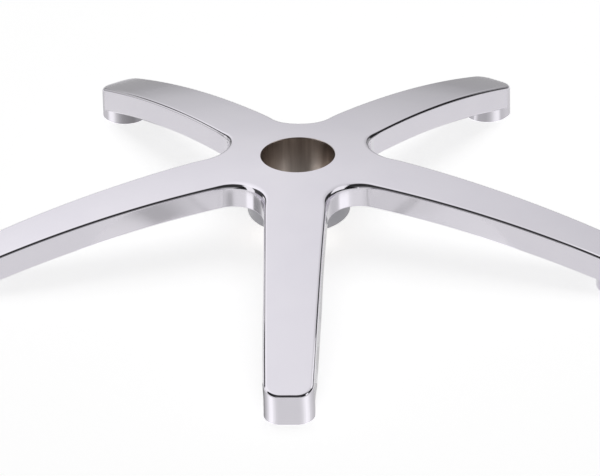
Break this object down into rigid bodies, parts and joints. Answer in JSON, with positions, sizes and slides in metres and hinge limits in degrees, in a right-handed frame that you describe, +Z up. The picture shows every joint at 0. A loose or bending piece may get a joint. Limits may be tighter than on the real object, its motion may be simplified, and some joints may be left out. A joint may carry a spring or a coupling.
{
  "type": "office chair five star base",
  "caption": "Polished cast metal star base for a swivel chair: curved tapering arms with caster bosses, and a hub with a tapered column seat.",
  "frame": {"origin": "on the hub axis, in the plane of the hub's lower face, where the column bore ends", "axes": "+Z up along the column bore, out of the hub's top; -Y along the arm that points to the viewer in the picture"},
  "size_m": [0.462, 0.4406, 0.0624],
  "materials": {
    "polished_casting": "mirror polished and bright plated"
  },
  "bodies": {
    "root": {"star_base_casting": "polished_casting"}
  },
  "joints": []
}
